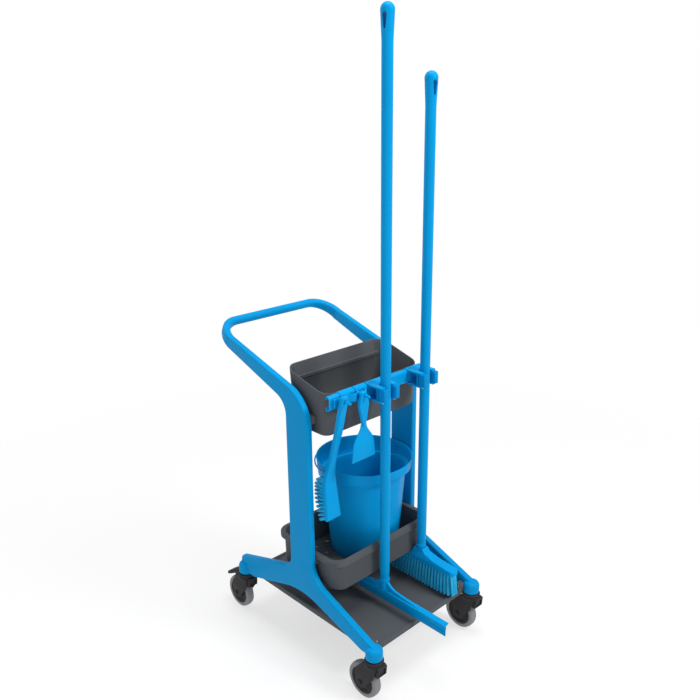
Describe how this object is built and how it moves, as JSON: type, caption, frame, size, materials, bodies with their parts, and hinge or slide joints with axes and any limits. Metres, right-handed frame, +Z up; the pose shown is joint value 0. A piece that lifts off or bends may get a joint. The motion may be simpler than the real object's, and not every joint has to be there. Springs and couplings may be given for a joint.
{
  "type": "housekeeping cart",
  "caption": "Push cart on swivel casters with a base tray, basket, top bin and a front rail holding a squeegee, broom, brush and scraper, with a bucket in the basket.",
  "frame": {"origin": "bottom centre of the whole object's box, on the floor", "axes": "+Z up; -Y to the front, where the tool rail is; +Y to the rear, where the push handle is; +X to the side of the broom"},
  "size_m": [0.514, 0.8172, 1.922],
  "materials": {
    "frame_blue": "satin",
    "pole_blue": "satin",
    "tool_blue": "satin",
    "bristle_blue": "matte",
    "jaw_rubber": "matte",
    "blade_rubber": "matte",
    "dark_plastic": "fine grain",
    "caster_plastic": "satin",
    "grey_tyre": "matte",
    "steel": "brushed"
  },
  "bodies": {
    "cart_frame": {"left_side_frame": "frame_blue", "right_side_frame": "frame_blue", "handle_bar": "frame_blue", "base_tray": "dark_plastic", "tray_screws": "steel", "lower_basket": "dark_plastic", "top_bin": "dark_plastic", "bin_bracket_left": "dark_plastic", "bin_bracket_right": "dark_plastic", "basket_bracket_left": "dark_plastic", "basket_bracket_right": "dark_plastic", "bracket_screws": "steel", "tool_rail": "tool_blue", "rail_mounts": "dark_plastic", "rail_screws": "steel", "hook_clip": "tool_blue", "pole_grip_tall": "tool_blue", "pole_grip_short": "tool_blue", "grip_jaws_tall": "jaw_rubber", "grip_jaws_short": "jaw_rubber", "grip_pins": "steel", "caster_stems": "steel", "swivel_bearings": "steel"},
    "squeegee": {"tall_pole": "pole_blue", "squeegee_head": "tool_blue", "squeegee_blade": "blade_rubber"},
    "broom": {"short_pole": "pole_blue", "broom_block": "tool_blue", "broom_bristles": "bristle_blue"},
    "dusting_brush": {"hand_brush": "tool_blue", "hand_brush_bristles": "bristle_blue"},
    "scraper": {"hand_scraper": "tool_blue"},
    "bucket": {"bucket": "tool_blue"},
    "bail": {"bucket_bail": "steel"},
    "caster_front_left": {"caster_fork_front_left": "caster_plastic", "wheel_axle_front_left": "steel"},
    "wheel_front_left": {"wheel_hub_front_left": "caster_plastic", "tyre_front_left": "grey_tyre"},
    "caster_front_right": {"caster_fork_front_right": "caster_plastic", "wheel_axle_front_right": "steel"},
    "wheel_front_right": {"wheel_hub_front_right": "caster_plastic", "tyre_front_right": "grey_tyre"},
    "caster_rear_left": {"caster_fork_rear_left": "caster_plastic", "wheel_axle_rear_left": "steel"},
    "wheel_rear_left": {"wheel_hub_rear_left": "caster_plastic", "tyre_rear_left": "grey_tyre"},
    "pedal_rear_left": {"brake_pedal_rear_left": "caster_plastic"},
    "caster_rear_right": {"caster_fork_rear_right": "caster_plastic", "wheel_axle_rear_right": "steel"},
    "wheel_rear_right": {"wheel_hub_rear_right": "caster_plastic", "tyre_rear_right": "grey_tyre"},
    "pedal_rear_right": {"brake_pedal_rear_right": "caster_plastic"}
  },
  "joints": [
    {"name": "swivel_front_left", "type": "hinge", "parent": "cart_frame", "child": "caster_front_left", "pos_m": [-0.228, -0.306, 0.14], "axis": [0, 0, 1], "continuous": true},
    {"name": "roll_front_left", "type": "hinge", "parent": "caster_front_left", "child": "wheel_front_left", "pos_m": [-0.228, -0.268, 0.0565], "axis": [1, 0, 0], "continuous": true},
    {"name": "swivel_front_right", "type": "hinge", "parent": "cart_frame", "child": "caster_front_right", "pos_m": [0.228, -0.306, 0.14], "axis": [0, 0, 1], "continuous": true},
    {"name": "roll_front_right", "type": "hinge", "parent": "caster_front_right", "child": "wheel_front_right", "pos_m": [0.228, -0.268, 0.0565], "axis": [1, 0, 0], "continuous": true},
    {"name": "swivel_rear_left", "type": "hinge", "parent": "cart_frame", "child": "caster_rear_left", "pos_m": [-0.228, 0.306, 0.14], "axis": [0, 0, 1], "continuous": true},
    {"name": "roll_rear_left", "type": "hinge", "parent": "caster_rear_left", "child": "wheel_rear_left", "pos_m": [-0.228, 0.344, 0.0565], "axis": [1, 0, 0], "continuous": true},
    {"name": "brake_rear_left", "type": "hinge", "parent": "caster_rear_left", "child": "pedal_rear_left", "pos_m": [-0.228, 0.34, 0.133], "axis": [-1, 0, 0], "range_deg": [0, 8]},
    {"name": "swivel_rear_right", "type": "hinge", "parent": "cart_frame", "child": "caster_rear_right", "pos_m": [0.228, 0.306, 0.14], "axis": [0, 0, 1], "continuous": true},
    {"name": "roll_rear_right", "type": "hinge", "parent": "caster_rear_right", "child": "wheel_rear_right", "pos_m": [0.228, 0.344, 0.0565], "axis": [1, 0, 0], "continuous": true},
    {"name": "brake_rear_right", "type": "hinge", "parent": "caster_rear_right", "child": "pedal_rear_right", "pos_m": [0.228, 0.34, 0.133], "axis": [-1, 0, 0], "range_deg": [0, 8]},
    {"name": "squeegee_pull", "type": "slide", "parent": "cart_frame", "child": "squeegee", "axis": [0, -1, 0], "range_m": [0, 0.12]},
    {"name": "broom_pull", "type": "slide", "parent": "cart_frame", "child": "broom", "axis": [0, -1, 0], "range_m": [0, 0.12]},
    {"name": "brush_off_peg", "type": "slide", "parent": "cart_frame", "child": "dusting_brush", "axis": [0, -1, 0], "range_m": [0, 0.045]},
    {"name": "scraper_off_peg", "type": "slide", "parent": "cart_frame", "child": "scraper", "axis": [0, -1, 0], "range_m": [0, 0.045]},
    {"name": "bucket_lift", "type": "slide", "parent": "cart_frame", "child": "bucket", "axis": [0, 0, 1], "range_m": [0, 0.1]},
    {"name": "bail_swing", "type": "hinge", "parent": "bucket", "child": "bail", "pos_m": [0.053, 0.0145, 0.579], "axis": [1, 0, 0], "range_deg": [0, 45]}
  ]
}
